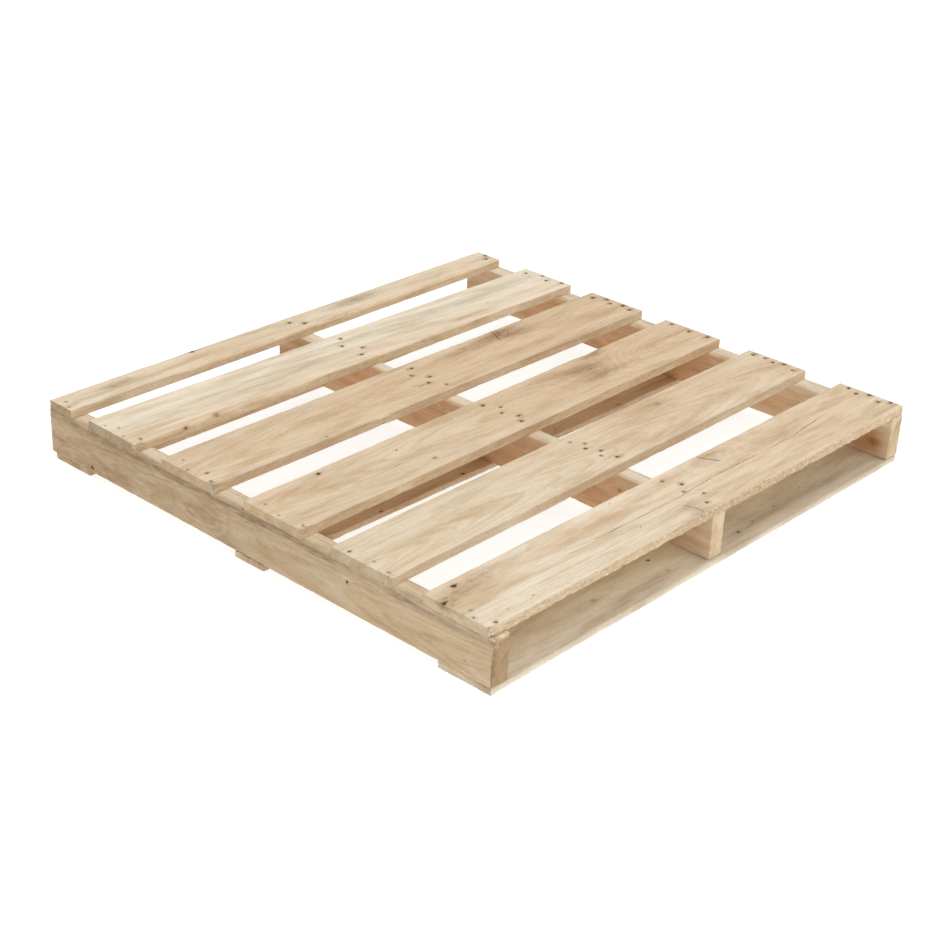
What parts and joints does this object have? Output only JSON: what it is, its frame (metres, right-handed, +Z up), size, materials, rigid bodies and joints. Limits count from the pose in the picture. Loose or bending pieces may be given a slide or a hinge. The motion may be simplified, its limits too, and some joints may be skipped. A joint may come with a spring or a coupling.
{
  "type": "wooden pallet",
  "caption": "Two-way-entry timber stringer pallet: slatted top deck and spaced bottom boards nailed across stringers set on edge, with open fork tunnels.",
  "frame": {"origin": "on the floor, below the middle of the pallet", "axes": "+X along the deck boards towards the right stringer, +Y along the stringers towards the narrow rear board, +Z up out of the deck"},
  "size_m": [1.2192, 1.143, 0.1207],
  "materials": {
    "top_board_wood": "rough sawn, bare",
    "bottom_board_wood": "rough sawn, bare",
    "stringer_wood": "rough sawn, bare",
    "nail_steel": "dull, lightly rusted"
  },
  "bodies": {
    "root": {"left_stringer": "stringer_wood", "middle_stringer": "stringer_wood", "right_stringer": "stringer_wood", "top_board_1": "top_board_wood", "top_board_2": "top_board_wood", "top_board_3": "top_board_wood", "top_board_4": "top_board_wood", "top_board_5": "top_board_wood", "top_board_6": "top_board_wood", "bottom_board_1": "bottom_board_wood", "bottom_board_2": "bottom_board_wood", "bottom_board_3": "bottom_board_wood", "top_board_1_nails": "nail_steel", "top_board_2_nails": "nail_steel", "top_board_3_nails": "nail_steel", "top_board_4_nails": "nail_steel", "top_board_5_nails": "nail_steel", "top_board_6_nails": "nail_steel", "bottom_board_1_nails": "nail_steel", "bottom_board_2_nails": "nail_steel", "bottom_board_3_nails": "nail_steel"}
  },
  "joints": []
}
